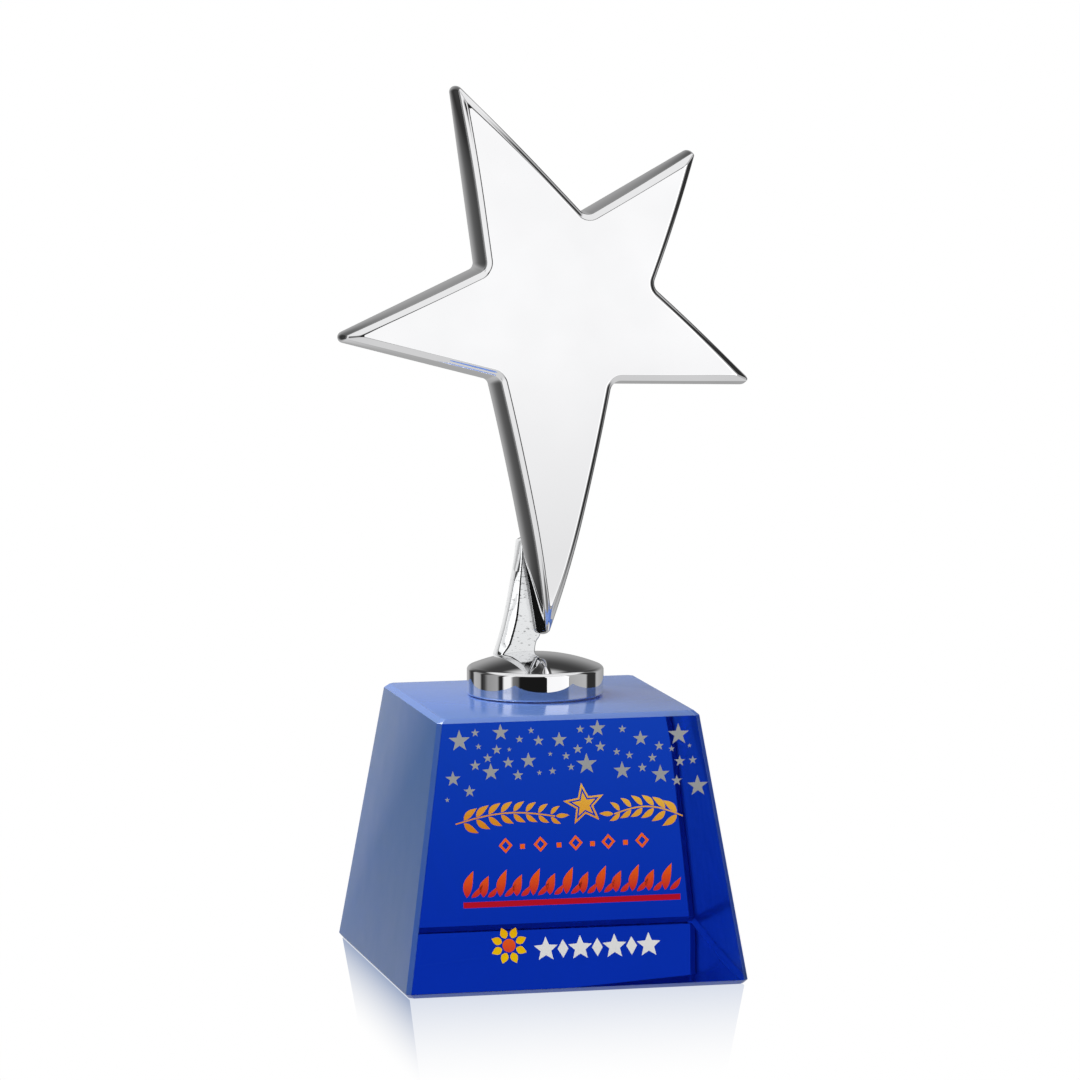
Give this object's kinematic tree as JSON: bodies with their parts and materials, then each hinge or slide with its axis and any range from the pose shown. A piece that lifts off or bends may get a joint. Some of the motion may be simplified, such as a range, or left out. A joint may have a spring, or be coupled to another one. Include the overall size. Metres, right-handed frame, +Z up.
{
  "type": "star trophy",
  "caption": "Polished leaning star on a curved blade and a round domed foot, standing on a tapered square block of blue crystal.",
  "frame": {"origin": "middle of the crystal block's underside, where the trophy stands", "axes": "+Z up along the star's long axis; the star's polished face and the printed face of the block look towards -Y; +X is to the right seen from the front"},
  "size_m": [0.0964, 0.0796, 0.2026],
  "materials": {
    "crystal": "polished cobalt-blue optical crystal",
    "adhesive": "clear cured adhesive film",
    "chrome": "mirror-polished chrome plate",
    "steel": "plain stainless steel"
  },
  "bodies": {
    "root": {"crystal_block": "crystal", "foot_bond": "adhesive", "foot": "chrome", "root_screw": "steel", "root_pin": "steel", "blade": "chrome", "star_shell": "chrome", "star_back_plate": "chrome", "star_screw_1": "steel", "star_screw_2": "steel", "plate_screw_1": "steel", "plate_screw_2": "steel", "plate_screw_3": "steel"}
  },
  "joints": []
}
